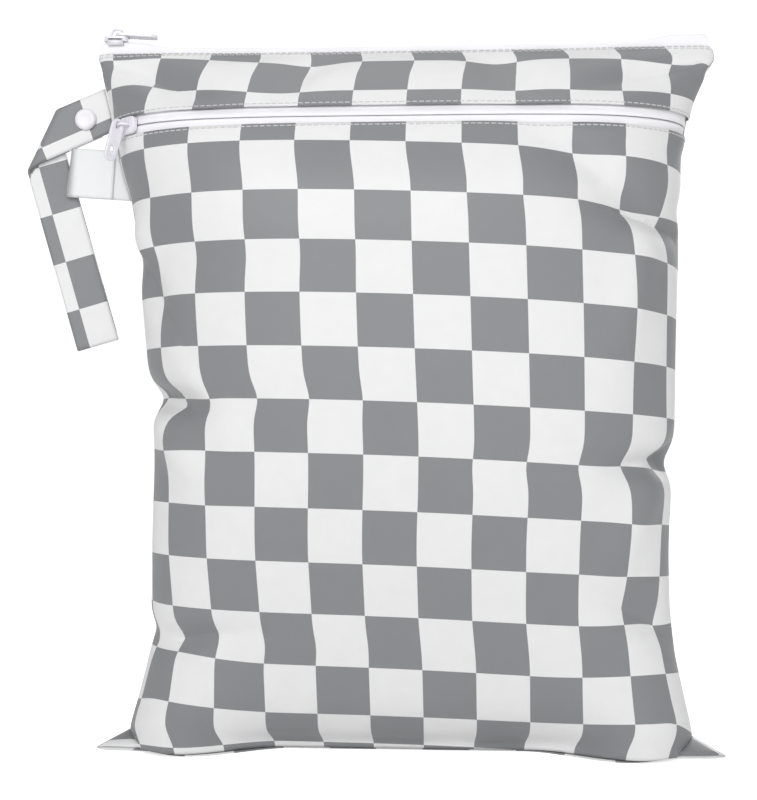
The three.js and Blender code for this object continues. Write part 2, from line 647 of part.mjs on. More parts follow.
// The snap turns about y: the cap in front, its post through both layers, and the socket behind.
function snap(centre) {
  const front = -(CLOTH / 2 + GAP);
  const back = LAYER + CLOTH / 2 + GAP;
  const end = back + SOCKET_HEIGHT;
  const rim = SNAP_DIAMETER / 2;
  const post = SNAP_POST / 2;
  const crown = front - SNAP_HEIGHT;
  const dome = SNAP_HEIGHT * 0.6;
  const round = [30, 60, 90].map((angle) => angle * DEGREE)
    .map((angle) => [rim * Math.sin(angle), crown + dome * (1 - Math.cos(angle))]);
  const cap = [[0, crown], ...round, [rim, front], [post, front], [post, end], [0, end]];
  const bore = post + GAP;
  const ring = SOCKET_DIAMETER / 2;
  const socket = [[bore, back], [ring, back], [ring * 0.9, end], [bore, end], [bore, back]];
  return [
    turnedAboutY('snap_cap', cap, centre),
    turnedAboutY('snap_socket', socket, centre),
  ];
}

function turnedAboutY(name, profile, centre) {
  const geometry = new THREE.LatheGeometry(profile.map(([r, y]) => new THREE.Vector2(r, y)), 16);
  const solid = manifold(geometry);
  const mesh = named(name, fromManifold(solid), moulded);
  mesh.position.copy(centre);
  return mesh;
}

function sideTag() {
  const foldAt = { x: TAG_LENGTH, z: 0 };
  const layer = TAG_THICK + GAP;
  const bend = (point) => foldOver(point, foldAt, { x: 1, z: 0 }, layer / 2, -1);
  const fold = spaced(TAG_LENGTH, TAG_LENGTH + (Math.PI * layer) / 2, 5);
  const end = TAG_LENGTH * 2 - TAG_SHORT;
  const stops = [0, TAG_LENGTH / 2, ...fold, TAG_LENGTH * 1.5, end];
  return bandFromSeam('side_tag', TAG_AT, TAG_SLOPE, TAG_WIDTH, 6, stops, bend, TAG_THICK, tagWhite);
}

function wetBag() {
  const bag = new THREE.Group();
  bag.add(...panels(), ...pocketZipper(), ...topZipper());
  bag.add(...pocketSliderAndPull(), ...topSliderAndPull());
  bag.add(...strapAndSnap(), sideTag());
  return bag;
}

const bag = wetBag();
const extent = new THREE.Box3().setFromObject(bag, true);
const middle = extent.getCenter(new THREE.Vector3());
bag.position.set(-middle.x, -middle.y, -extent.min.z);

const object = new THREE.Group();
object.add(bag);
export default object;
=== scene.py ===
# %% [markdown]
# # A two-zip wet bag of checked, coated cloth
# The bag is stuffed and stands on its bottom seam. Its cloth is drawn flat first, as it is cut: u runs
# across from side seam to side seam, v runs up from the bottom seam, both in millimetres. One function then
# bends that flat sheet to the stuffed form, and every panel, tape, hem and stitch uses the same function,
# so they always fit each other.

# %% Load the frame
import math
import bmesh
import bpy
import numpy as np
from mathutils import Matrix, Vector


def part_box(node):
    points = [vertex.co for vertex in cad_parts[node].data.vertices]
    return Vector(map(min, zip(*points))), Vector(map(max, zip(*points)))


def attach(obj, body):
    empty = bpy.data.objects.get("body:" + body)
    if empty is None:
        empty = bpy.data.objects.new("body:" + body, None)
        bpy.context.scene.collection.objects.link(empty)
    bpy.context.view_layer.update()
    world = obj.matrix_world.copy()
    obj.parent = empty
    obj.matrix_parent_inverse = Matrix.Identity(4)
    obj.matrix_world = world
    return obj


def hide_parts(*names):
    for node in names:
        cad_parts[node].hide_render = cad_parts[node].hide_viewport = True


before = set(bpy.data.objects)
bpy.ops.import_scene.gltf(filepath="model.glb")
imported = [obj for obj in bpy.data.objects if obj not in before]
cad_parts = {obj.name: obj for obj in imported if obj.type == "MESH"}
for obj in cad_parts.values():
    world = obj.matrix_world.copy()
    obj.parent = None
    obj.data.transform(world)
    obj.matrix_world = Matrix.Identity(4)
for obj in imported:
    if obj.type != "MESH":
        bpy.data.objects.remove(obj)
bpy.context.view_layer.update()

# %% [markdown]
# ## The sizes of the bag
# These are the sizes that the bag was cut to, and the two depths that it bulges to when it is stuffed.

# %% Sizes in millimetres
MM = 0.001
BAG_WIDTH = 305.0
BAG_HEIGHT = 362.0
STAND_HEIGHT = 336.0
FRONT_DEPTH = 58.0
BACK_DEPTH = 51.0
HALF = BAG_WIDTH / 2
GAP = 0.3
CLOTH = 1.2
SKIN = CLOTH + GAP / 2
POCKET_ZIP_AT = 307.0
ZIP_SHOWN = 10.0
TAPE_UNDER_HEM = 7.0
TOP_TAPE_SHOWN = 4.0
TOP_TAPE_SHOWN_AT_ENDS = 7.0
ZIPPER_ROOM = 2.2
TOP_TAPE_END = 3.0
CHECK = 24.5
POCKET_HEM = POCKET_ZIP_AT - ZIP_SHOWN / 2
UPPER_HEM = POCKET_ZIP_AT + ZIP_SHOWN / 2

# %% [markdown]
# ## The stuffed form
# Each row of these tables is one level section of the bag, by its share of the flat height: how wide it is,
# how far it leans, how far the cloth bulges and how late it turns back toward the side seam. Lengths are
# shares of the sizes above.

# %% Section tables


def table(columns, rows):
    """Names the columns of a table written one row to a section."""
    return {name: np.array([row[k] for row in rows], float) for k, name in enumerate(columns.split())}


FRONT = table("at width sway seam seamRise reach rise corner cornerRise turn", [
    [0, 0.872, -0.015, 0.14, 0.0, 0.14, 0, 0.54, 0, 5.2],
    [0.012, 0.878, -0.014, 0.08, 0.004, 0.16, 0.01, 0.56, 0.01, 5.2],
    [0.045, 0.9, -0.012, -0.04, 0.018, 0.33, 0.035, 0.6, 0.042, 4.8],
    [0.088, 0.872, -0.008, -0.06, 0.075, 0.48, 0.072, 0.63, 0.083, 3.8],
    [0.149, 0.838, -0.006, -0.03, 0.146, 0.59, 0.137, 0.66, 0.144, 2.9],
    [0.215, 0.828, -0.012, 0, 0.212, 0.69, 0.209, 0.71, 0.21, 2.8],
    [0.282, 0.824, -0.012, 0.01, 0.281, 0.8, 0.282, 0.81, 0.282, 2.6],
    [0.414, 0.828, 0, 0, 0.43, 0.95, 0.43, 0.95, 0.43, 2.5],
    [0.547, 0.843, -0.01, 0, 0.573, 1, 0.573, 1, 0.573, 2.4],
    [0.68, 0.863, -0.02, 0, 0.715, 1, 0.715, 1, 0.715, 2.6],
    [0.746, 0.876, -0.025, 0, 0.781, 0.957, 0.781, 0.957, 0.781, 2.8],
    [0.812, 0.897, -0.044, 0, 0.85, 0.82, 0.85, 0.82, 0.85, 3.2],
    [0.863, 0.92, -0.044, 0, 0.902, 0.65, 0.902, 0.65, 0.902, 4],
    [0.912, 0.95, -0.036, 0, 0.947, 0.46, 0.947, 0.45, 0.947, 5.5],
    [0.953, 0.982, -0.02, 0, 0.977, 0.28, 0.977, 0.27, 0.977, 9],
    [1, 0.988, -0.034, 0, 1.003, 0.07, 1, 0.07, 1.002, 18],
])
BACK = table("at under reach rise corner cornerRise turn", [
    [0, 1, 0.08, 0, 0.2, 0, 16],
    [0.058, 0.2, 0.22, 0, 0.3, 0, 7],
    [0.13, 0, 0.52, 0.066, 0.44, 0.02, 4.2],
    [0.2, 0, 0.73, 0.138, 0.6, 0.1, 3.4],
    [0.265, 0, 0.86, 0.214, 0.78, 0.194, 3],
    [0.33, 0, 0.93, 0.29, 0.9, 0.28, 2.8],
    [0.47, 0, 1, 0.44, 1, 0.44, 2.6],
    [0.61, 0, 1, 0.59, 1, 0.59, 2.6],
    [0.725, 0, 0.93, 0.716, 0.93, 0.716, 2.8],
    [0.83, 0, 0.7, 0.824, 0.7, 0.824, 3.3],
    [0.91, 0, 0.4, 0.906, 0.4, 0.906, 5.5],
    [0.953, 0, 0.24, 0.951, 0.24, 0.951, 9],
    [1, 0, 0.08, 1, 0.08, 1.002, 18],
])
PINCHES = table("side at spread depth", [
    [-1, 0.48, 0.022, 0.034],
    [-1, 0.66, 0.03, 0.014],
    [-1, 0.17, 0.02, 0.015],
    [1, 0.395, 0.022, 0.026],
    [1, 0.735, 0.025, 0.012],
    [1, 0.945, 0.018, 0.022],
])
print(len(FRONT["at"]), "front sections,", len(BACK["at"]), "back sections")

# %% [markdown]
# ## Folds
# Coated cloth over a soft filling keeps long shallow folds, and sharper creases where a seam pinches it.
# Each fold is a groove or a ridge: a centre, a lean from level, a length, a breadth and a depth. A crisp
# fold comes to an edge along its middle, a soft one is rounded.

# %% Fold tables
FRONT_FOLDS = table("across up lean long broad deep crisp", [
    [-0.84, 0.68, 70, 0.11, 0.07, 0.09, 0],
    [-0.78, 0.61, -55, 0.3, 0.06, -0.1, 0.3],
    [-0.68, 0.54, -60, 0.26, 0.06, 0.06, 0],
    [-0.82, 0.475, -8, 0.2, 0.05, -0.14, 0.5],
    [-0.76, 0.42, -40, 0.2, 0.06, 0.06, 0],
    [-0.7, 0.17, 12, 0.2, 0.05, -0.08, 0.4],
    [0.6, 0.76, -38, 0.24, 0.07, -0.09, 0.2],
    [0.76, 0.71, -12, 0.2, 0.05, -0.12, 0.5],
    [0.68, 0.62, 75, 0.22, 0.07, 0.06, 0],
    [0.84, 0.4, 4, 0.2, 0.05, -0.14, 0.6],
    [0.74, 0.35, 60, 0.2, 0.07, 0.06, 0],
    [0.76, 0.2, -25, 0.18, 0.06, -0.08, 0.4],
    [-0.74, 0.925, -35, 0.2, 0.06, -0.1, 0.2],
    [-0.3, 0.93, 60, 0.14, 0.08, -0.05, 0],
    [0.3, 0.93, -60, 0.14, 0.08, -0.05, 0],
    [0.76, 0.925, 20, 0.2, 0.06, -0.09, 0.2],
])
BACK_FOLDS = table("across up lean long broad deep crisp", [
    [-0.72, 0.62, -30, 0.3, 0.07, -0.12, 0.3],
    [0.72, 0.5, 35, 0.3, 0.07, -0.12, 0.3],
    [-0.6, 0.3, 40, 0.28, 0.08, -0.1, 0.3],
    [0.62, 0.26, -35, 0.28, 0.08, -0.1, 0.3],
    [0.1, 0.88, 80, 0.18, 0.1, -0.08, 0],
])
print(len(FRONT_FOLDS["up"]), "front folds,", len(BACK_FOLDS["up"]), "back folds")

# %% [markdown]
# ## Reading the tables
# Between two rows a column follows a cubic that never overshoots them, so a section never bulges where no
# row says so. A level section starts flat at the middle and turns back through a quarter turn at the side.

# %% Reading helpers


def column(rows, name, at):
    """A column of a table at any places along it."""
    x = rows["at"]
    y = rows[name]
    slope = np.diff(y) / np.diff(x)
    before = slope[:-1]
    after = slope[1:]
    product = before * after
    total = np.where(product > 0, before + after, 1.0)
    tangent = np.concatenate([slope[:1], np.where(product > 0, 2 * product / total, 0.0), slope[-1:]])
    i = np.clip(np.searchsorted(x, at, side="right") - 1, 0, len(x) - 2)
    span = x[i + 1] - x[i]
    t = np.clip((at - x[i]) / span, 0, 1)
    hermite = y[i] * (1 + 2 * t) * (1 - t) ** 2 + y[i + 1] * t * t * (3 - 2 * t)
    return hermite + span * (tangent[i] * t * (1 - t) ** 2 - tangent[i + 1] * t * t * (1 - t))


def smooth(low, high, value):
    share = np.clip((value - low) / (high - low), 0, 1)
    return share * share * (3 - 2 * share)


def bell(distance):
    return np.exp(-distance * distance)


def turned_line(share, turn, steps=40):
    """Half of a level section: how far out and how far in front of the seam it is, both from 0 to 1."""
    out_all = back_all = out_at = back_at = 0.0
    for k in range(steps):
        angle = (math.pi / 2) * ((k + 0.5) / steps) ** turn
        part = np.clip(share * steps - k, 0, 1)
        out_all = out_all + np.cos(angle)
        back_all = back_all + np.sin(angle)
        out_at = out_at + np.cos(angle) * part
        back_at = back_at + np.sin(angle) * part
    return out_at / out_all, 1 - back_at / back_all


# %% [markdown]
# ## Bending the sheet
# The bare form comes from the tables, the folds push it in or out along its own normals, and the result is
# kept on a lattice of one millimetre. Anything that lies on the bag reads its place and its outward
# direction from that lattice.

# %% The bent sheet


def seam_half_width(side, up):
    width = column(FRONT, "width", up)
    for pinch_side, at, spread, depth in zip(*PINCHES.values()):
        width = width - np.where(side == pinch_side, depth, 0) * bell((up - at) / spread)
    return width * HALF - SKIN


def body_form(facing, u, v):
    """The form without ears or folds; facing is -1 for the front and 1 for the back."""
    rows = FRONT if facing < 0 else BACK
    depth = FRONT_DEPTH if facing < 0 else BACK_DEPTH
    up = v / BAG_HEIGHT
    side = np.where(u < 0, -1.0, 1.0)
    share = np.minimum(1, np.abs(u) / HALF)
    out, front = turned_line(share, column(rows, "turn", up))
    cornered = smooth(0.4, 0.82, share)
    near_seam = smooth(0.8, 1, share)
    reach_share = column(rows, "reach", up) * (1 - cornered) + column(rows, "corner", up) * cornered
    reach = np.maximum(reach_share * depth - SKIN, ZIPPER_ROOM)
    rise_share = column(rows, "rise", up) * (1 - cornered) + column(rows, "cornerRise", up) * cornered
    rise_share = rise_share * (1 - near_seam) + column(FRONT, "seamRise", up) * near_seam
    rise = rise_share * STAND_HEIGHT + SKIN + np.maximum(0, v - BAG_HEIGHT)
    seam = -column(FRONT, "seam", up) * FRONT_DEPTH
    seam_edge = seam + facing * smooth(0.9, 0.975, up) * ZIPPER_ROOM
    y = seam_edge + (facing * reach - seam_edge) * front
    if facing > 0:
        bottom_step = -FRONT["seam"][0] * FRONT_DEPTH
        from_bottom = body_form(-1, u, np.zeros_like(v))[..., 1] + near_seam * (seam - bottom_step)
        under = column(BACK, "under", up)
        y = y * (1 - under) + from_bottom * under
    sway = column(FRONT, "sway", up) * HALF
    return np.stack([side * seam_half_width(side, up) * out + sway, y, rise], -1)


EAR = 15.0
EAR_PUFF = 1.5
EAR_OUT = 0.985
EAR_FORWARD = -0.27
EAR_SWAY = -0.012


def bare_form(facing, u, v):
    """The body with its two bottom corners, which stick out as flat ears on the floor."""
    side = np.where(u < 0, -1.0, 1.0)
    from_side = (HALF - np.abs(u)) / EAR
    from_floor = v / EAR
    tip_x = side * EAR_OUT * HALF + EAR_SWAY * HALF
    tip = np.stack([tip_x, np.full_like(u, EAR_FORWARD * FRONT_DEPTH), np.full_like(u, SKIN)], -1)
    on_floor = body_form(facing, side * (HALF - EAR), np.zeros_like(v))
    on_seam = body_form(facing, side * HALF, np.full_like(v, EAR))
    ear = tip + from_side[..., None] * (on_floor - tip) + from_floor[..., None] * (on_seam - tip)
    ear[..., 2] += EAR_PUFF * 4 * np.clip(from_side, 0, 1) * np.clip(from_floor, 0, 1)
    share = 1 - smooth(0.84, 1.16, from_side + from_floor)[..., None]
    return body_form(facing, u, v) * (1 - share) + ear * share


def fold_depth(folds, u, v):
    depth = np.zeros_like(u)
    for across, up, lean, long, broad, deep, crisp in zip(*folds.values()):
        x = u - across * HALF
        z = v - up * BAG_HEIGHT
        angle = math.radians(lean)
        along = (x * math.cos(angle) + z * math.sin(angle)) / (long * HALF)
        beside = (z * math.cos(angle) - x * math.sin(angle)) / (broad * HALF)
        edge = (1 - crisp) * bell(beside) + crisp * np.exp(-1.6 * np.abs(beside))
        depth = depth + deep * FRONT_DEPTH * bell(along) * edge
    from_seam = smooth(0, 0.09, 1 - np.abs(u) / HALF)
    from_zip = smooth(0, 0.03, np.abs(v - POCKET_ZIP_AT) / BAG_HEIGHT)
    from_top = smooth(0, 0.05, 1 - v / BAG_HEIGHT)
    from_bottom = smooth(0.03, 0.1, v / BAG_HEIGHT)
    return depth * from_seam * from_zip * from_top * from_bottom


def outward(facing, places):
    """Unit normals of a lattice of places, pointing out of the bag."""
    across = np.gradient(places, axis=1)
    along = np.gradient(places, axis=0)
    normal = -facing * np.cross(across, along)
    return normal / np.linalg.norm(normal, axis=-1, keepdims=True)


LATTICE_STEP = 1.0
ABOVE_HEM = 10.0


def bent_face(facing, folds):
    """The front or back of the bag as a lattice of places and outward directions, in millimetres."""
    across = np.arange(-HALF, HALF + LATTICE_STEP / 2, LATTICE_STEP)
    along = np.arange(0, BAG_HEIGHT + ABOVE_HEM + LATTICE_STEP / 2, LATTICE_STEP)
    u, v = np.meshgrid(across, along)
    bare = bare_form(facing, u, v)
    places = bare + outward(facing, bare) * fold_depth(folds, -facing * u, v)[..., None]
    normals = outward(facing, places)
    leans_over = (facing * normals[..., 1] < 0) & (np.abs(u) > HALF - 6)
    normals[..., 1] = np.where(leans_over, 0, normals[..., 1])
    normals /= np.linalg.norm(normals, axis=-1, keepdims=True)
    return {"facing": facing, "places": places, "normals": normals}


def on_lattice(values, u, v):
    """Values of a lattice between its points."""
    x = np.clip((np.asarray(u, float) + HALF) / LATTICE_STEP, 0, values.shape[1] - 1.001)
    y = np.clip(np.asarray(v, float) / LATTICE_STEP, 0, values.shape[0] - 1.001)
    i = x.astype(int)
    j = y.astype(int)
    s = (x - i)[..., None]
    t = (y - j)[..., None]
    low = values[j, i] * (1 - s) + values[j, i + 1] * s
    high = values[j + 1, i] * (1 - s) + values[j + 1, i + 1] * s
    return low * (1 - t) + high * t


def on_bag(face, u, v, offset):
    """Places on the bag in millimetres, moved outward from the bent sheet by offset."""
    u, v, offset = np.broadcast_arrays(np.asarray(u, float), np.asarray(v, float), np.asarray(offset, float))
    out = on_lattice(face["normals"], u, v)
    return on_lattice(face["places"], u, v) + out * offset[..., None]


front_face = bent_face(-1, FRONT_FOLDS)
back_face = bent_face(1, BACK_FOLDS)
print("front depth", round(-front_face["places"][..., 1].min(), 1), "mm")

# %% [markdown]
# ## Sewn to the left seam
# The strap and the tag are caught in the left side seam. They leave it at their own slope, so each one gets
# a root on the seam and a heading. The snap's place on the strap is known in the frame, which tells how far
# the frame's origin lies from the middle of the sheet.

# %% Bands that start at the seam
STRAP_AT = 322.0
STRAP_SLOPE = 22.6
STRAP_WIDTH = 21.0
SNAP_AT = 12.7
SEWN_GAP = 0.6


def left_seam(at):
    """Root of a band on the left seam: the seam's place, its direction and the way out of it."""
    low = on_bag(front_face, -HALF, at - 1, 0)
    high = on_bag(front_face, -HALF, at + 1, 0)
    up = (high - low) / np.linalg.norm(high - low)
    out = np.array([-up[2], 0, up[0]])
    return on_bag(front_face, -HALF, at, 0) + out * (SKIN + SEWN_GAP)


def heading(slope):
    """Directions along and across a band that falls to the left at a slope in degrees."""
    angle = math.radians(slope)
    along = np.array([-math.cos(angle), 0, -math.sin(angle)])
    return along, np.array([math.sin(angle), 0, -math.cos(angle)])


snap_centre = left_seam(STRAP_AT) + heading(STRAP_SLOPE)[0] * SNAP_AT
snap_low, snap_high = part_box("snap_cap")
frame_shift = np.array([
    (snap_low[0] + snap_high[0]) / 2 / MM - snap_centre[0],
    (FRONT_DEPTH - BACK_DEPTH) / 2,
    0.0,
])
print("sheet to frame", frame_shift.round(3), "mm")

# %% [markdown]
# ## Meshes from flat grids
# A panel starts as a plain grid the size of its cut, made by an operator, and is then bent. It keeps a UV
# map that counts printed checks, so the print follows the cloth into every fold as real print does.

# %% Grid helpers


def new_piece(name, bm, material, body="bag", smooth_shaded=True):
    """Puts a bmesh into the scene as one piece that rides on a body."""
    mesh = bpy.data.meshes.new(name)
    bm.to_mesh(mesh)
    bm.free()
    piece = bpy.data.objects.new(name, mesh)
    bpy.context.scene.collection.objects.link(piece)
    mesh.materials.append(material)
    mesh.shade_smooth() if smooth_shaded else mesh.shade_flat()
    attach(piece, body)
    return piece


def flat_grid(u_low, u_high, v_low, v_high, step):
    """A flat grid of cloth in millimetres, x across and y up the sheet."""
    bm = bmesh.new()
    columns = max(2, round((u_high - u_low) / step))
    rows = max(2, round((v_high - v_low) / step))
    bmesh.ops.create_grid(bm, x_segments=columns, y_segments=rows, size=0.5)
    bmesh.ops.scale(bm, vec=(u_high - u_low, v_high - v_low, 1), verts=bm.verts)
    centre = ((u_low + u_high) / 2, (v_low + v_high) / 2, 0)
    bmesh.ops.translate(bm, vec=centre, verts=bm.verts)
    return bm


def bend(piece, place, prints=None):
    """Moves a flat piece to its place, and keeps its flat coordinates in a UV map of checks."""
    mesh = piece.data
    flat = np.empty(len(mesh.vertices) * 3)
    mesh.vertices.foreach_get("co", flat)
    flat = flat.reshape(-1, 3)
    moved = place(flat[:, 0], flat[:, 1], flat[:, 2]) + frame_shift
    mesh.vertices.foreach_set("co", (moved * MM).ravel())
    if prints is not None:
        corner = np.empty(len(mesh.loops), int)
        mesh.loops.foreach_get("vertex_index", corner)
        cells = np.stack(prints(flat[:, 0], flat[:, 1]), -1)[corner]
        layer = mesh.uv_layers.new(name="print")
        layer.data.foreach_set("uv", cells.ravel())
    mesh.update()
    return piece


def thicken(piece, thickness, offset=-1.0):
    wall = piece.modifiers.new("wall", "SOLIDIFY")
    wall.thickness = thickness * MM
    wall.offset = offset
    wall.use_even_offset = True
    return piece


# %% [markdown]
# ## Shared surface effects
# Woven cloth shows a fine over-and-under relief. It is used by the panels, the tapes and the tag with
# their own thread sizes, so it is one node group with named inputs.

# %% Weave group


def node_group(name, inputs, outputs):
    """An empty shader group with float and vector sockets, its input and output nodes placed."""
    group = bpy.data.node_groups.new(name, "ShaderNodeTree")
    for socket, kind, value in inputs:
        made = group.interface.new_socket(name=socket, in_out="INPUT", socket_type=kind)
        if value is not None:
            made.default_value = value
    for socket, kind in outputs:
        group.interface.new_socket(name=socket, in_out="OUTPUT", socket_type=kind)
    return group, group.nodes.new("NodeGroupInput"), group.nodes.new("NodeGroupOutput")


def math_node(tree, operation, *values):
    """A Math node whose inputs are numbers or sockets; gives its output."""
    node = tree.nodes.new("ShaderNodeMath")
    node.operation = operation
    for k, value in enumerate(values):
        if isinstance(value, (int, float)):
            node.inputs[k].default_value = value
        else:
            tree.links.new(value, node.inputs[k])
    return node.outputs[0]


def weave_group():
    group, given, result = node_group(
        "plain weave",
        [("Vector", "NodeSocketVector", None), ("Threads", "NodeSocketFloat", 50.0)],
        [("Height", "NodeSocketFloat"), ("Slub and painted shade", "NodeSocketFloat")],
    )
    apart = group.nodes.new("ShaderNodeSeparateXYZ")
    group.links.new(given.outputs["Vector"], apart.inputs[0])
    waves = []
    for axis in ("X", "Y"):
        turns = math_node(group, "MULTIPLY", apart.outputs[axis], given.outputs["Threads"])
        waves.append(math_node(group, "SINE", math_node(group, "MULTIPLY", turns, math.pi)))
    over = math_node(group, "MULTIPLY", waves[0], waves[1])
    group.links.new(math_node(group, "MULTIPLY_ADD", over, 0.5, 0.5), result.inputs["Height"])
    # This noise is the slub mask. The checked cloth also uses it to paint shade and light into its tone.
    noise = group.nodes.new("ShaderNodeTexNoise")
    noise.inputs["Scale"].default_value = 3.0
    noise.inputs["Detail"].default_value = 4.0
    group.links.new(given.outputs["Vector"], noise.inputs["Vector"])
    group.links.new(noise.outputs["Fac"], result.inputs["Slub and painted shade"])
    return group


plain_weave = weave_group()
print("groups", [group.name for group in bpy.data.node_groups])

# %% [markdown]
# ## Checked cloth
# The cloth is a woven polyester with a smooth coating: satin rather than matt, and the print is flat grey
# and white checks. The Checker Texture reads the UV map of checks. A little noise paints shade and light
# into the tone, the way light varies on coated cloth that isn't quite flat.

# %% Materials


def material(name):
    made = bpy.data.materials.new(name)
    made.use_nodes = True
    return made, made.node_tree, made.node_tree.nodes["Principled BSDF"]


def place_weave(tree, vector, threads, distance, strength, shader):
    """Puts the weave group in a material as its bump, and gives back its noise mask of slub and painted
    shade.
    """
    weave = tree.nodes.new("ShaderNodeGroup")
    weave.node_tree = plain_weave
    weave.inputs["Threads"].default_value = threads
    tree.links.new(vector, weave.inputs["Vector"])
    bump = tree.nodes.new("ShaderNodeBump")
    bump.inputs["Distance"].default_value = distance
    bump.inputs["Strength"].default_value = strength
    tree.links.new(weave.outputs["Height"], bump.inputs["Height"])
    tree.links.new(bump.outputs["Normal"], shader.inputs["Normal"])
    return weave.outputs["Slub and painted shade"]


def toned(tree, colour, mask, amount):
    """A colour or colour socket made a little lighter or darker by a mask around one half."""
    mixed = tree.nodes.new("ShaderNodeMix")
    mixed.data_type = "RGBA"
    mixed.blend_type = "MULTIPLY"
    mixed.inputs["Factor"].default_value = 1.0
    if isinstance(colour, tuple):
        mixed.inputs["A"].default_value = colour
    else:
        tree.links.new(colour, mixed.inputs["A"])
    shade = math_node(tree, "MULTIPLY_ADD", mask, amount, 1 - amount / 2)
    tree.links.new(shade, mixed.inputs["B"])
    return mixed.outputs["Result"]


PRINT_GREY = (0.235, 0.24, 0.25, 1)
PRINT_WHITE = (0.8, 0.8, 0.805, 1)


def checked_cloth():
    made, tree, shader = material("checked cloth")
    uv = tree.nodes.new("ShaderNodeUVMap")
    uv.uv_map = "print"
    lift = tree.nodes.new("ShaderNodeMapping")
    lift.inputs["Location"].default_value = (0, 0, 0.5)
    tree.links.new(uv.outputs["UV"], lift.inputs["Vector"])
    checks = tree.nodes.new("ShaderNodeTexChecker")
    checks.inputs["Scale"].default_value = 1.0
    checks.inputs["Color1"].default_value = PRINT_GREY
    checks.inputs["Color2"].default_value = PRINT_WHITE
    tree.links.new(lift.outputs["Vector"], checks.inputs["Vector"])
    slub_and_painted_shade = place_weave(tree, uv.outputs["UV"], 50.0, 0.00004, 0.25, shader)
    # The noise mask darkens and lightens the checks a little: painted shade and light for cloth that isn't
    # quite flat.
    tree.links.new(toned(tree, checks.outputs["Color"], slub_and_painted_shade, 0.06), shader.inputs["Base Color"])
    tree.links.new(math_node(tree, "MULTIPLY_ADD", slub_and_painted_shade, 0.12, 0.42), shader.inputs["Roughness"])
    shader.inputs["Sheen Weight"].default_value = 0.15
    shader.inputs["Sheen Roughness"].default_value = 0.4
    return made


def plain_cloth(name, colour, threads, roughness):
    made, tree, shader = material(name)
    where = tree.nodes.new("ShaderNodeTexCoord")
    slub_and_painted_shade = place_weave(tree, where.outputs["Object"], threads, 0.00005, 0.3, shader)
    tree.links.new(toned(tree, colour, slub_and_painted_shade, 0.05), shader.inputs["Base Color"])
    shader.inputs["Roughness"].default_value = roughness
    return made


def hard_white(name, colour, roughness, coat):
    made, tree, shader = material(name)
    where = tree.nodes.new("ShaderNodeTexCoord")
    noise = tree.nodes.new("ShaderNodeTexNoise")
    noise.inputs["Scale"].default_value = 400.0
    tree.links.new(where.outputs["Object"], noise.inputs["Vector"])
    tree.links.new(toned(tree, colour, noise.outputs["Fac"], 0.04), shader.inputs["Base Color"])
    tree.links.new(
        math_node(tree, "MULTIPLY_ADD", noise.outputs["Fac"], 0.1, roughness), shader.inputs["Roughness"]
    )
    shader.inputs["Coat Weight"].default_value = coat
    return made


checked = checked_cloth()
tape_white = plain_cloth("zipper tape", (0.93, 0.92, 0.95, 1), 1600.0, 0.55)
tag_white = plain_cloth("tag satin", (0.82, 0.83, 0.84, 1), 2200.0, 0.5)
thread_grey = plain_cloth("stitching thread", (0.62, 0.62, 0.63, 1), 4000.0, 0.6)
lacquer = hard_white("white lacquer", (0.83, 0.81, 0.87, 1), 0.22, 0.4)
resin = hard_white("snap resin", (0.86, 0.84, 0.88, 1), 0.3, 0.1)
nylon = hard_white("coil nylon", (0.84, 0.83, 0.86, 1), 0.35, 0.0)
print("materials", [made.name for made in bpy.data.materials])

# %% [markdown]
# ## The three panels
# Pocket front, upper front and back are three cuts of the same cloth. Each one dips a little into the side
# seam, where the two faces are sewn together inside out and then turned.

# %% Panels
PANEL_STEP = 2.0
CLOTH_SHOWN = 0.6
SEAM_DIP = 0.8
SEAM_REACH = 1.6


def print_column(u, v):
    up = v / BAG_HEIGHT
    pitch = 25.2 - 1.3 * up
    lean = 0.012 * (v - 180) - 14 * (up - 0.42) ** 2 + 1.0
    return 5 + (u - 5 + lean) / pitch


def print_row(u, v):
    low = 1 - smooth(20, 90, v)
    return (292.2 - v - 0.036 * u - 4.5 * (u / HALF) ** 2 - 1.5 * low) / 24.0


def pocket_print(u, v):
    low = 1 - smooth(60, 110, v)
    drawn_in = u * (1 + 0.035 * low * (u / 130) ** 4)
    return print_column(drawn_in, v), print_row(u, v) + 20


def upper_print(u, v):
    drop = 10 * smooth(-125, -60, u)
    return 5 + (u - 6.5 + 0.012 * (v - 180)) / 24.1, (355 - v - drop) / 24.0 + 21


def back_print(u, v):
    return print_column(u, v), (355 - v) / 24.0 + 20


def skin_offset(u, v, hems):
    """How far a panel lies off the bent sheet: into the seam at its sides, doubled along its hems."""
    offset = SKIN - SEAM_DIP * bell((HALF - np.abs(u)) / SEAM_REACH)
    for hem in hems:
        offset = offset + 0.35 * (1 - smooth(5, 7, np.abs(v - hem)))
    return offset


def seam_closing(u, v):
    """How far each panel is drawn to the other one where the side seam meets the top zipper."""
    return ZIPPER_ROOM * smooth(0.9, 0.975, v / BAG_HEIGHT) * bell((HALF - np.abs(u)) / 2.5)


def panel(name, face, v_low, v_high, prints, hems, node):
    bm = flat_grid(-HALF + GAP / 2, HALF - GAP / 2, v_low, v_high, PANEL_STEP)
    if face["facing"] > 0:
        bmesh.ops.reverse_faces(bm, faces=bm.faces)
    piece = new_piece(name, bm, checked)

    def place(u, v, z):
        places = on_bag(face, u, v, skin_offset(u, v, hems))
        places[:, 1] -= face["facing"] * seam_closing(u, v)
        return places

    bend(piece, place, prints)
    thicken(piece, CLOTH_SHOWN)
    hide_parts(node)
    print(name, len(piece.data.polygons), "faces")
    return piece


LOW = GAP / 2
panel("pocket_cloth", front_face, LOW, POCKET_HEM, pocket_print, [POCKET_HEM], "pocket_panel")
panel(
    "upper_cloth", front_face, UPPER_HEM, BAG_HEIGHT, upper_print, [UPPER_HEM, BAG_HEIGHT],
    "upper_front_panel",
)
panel("back_cloth", back_face, LOW, BAG_HEIGHT, back_print, [BAG_HEIGHT], "back_panel")

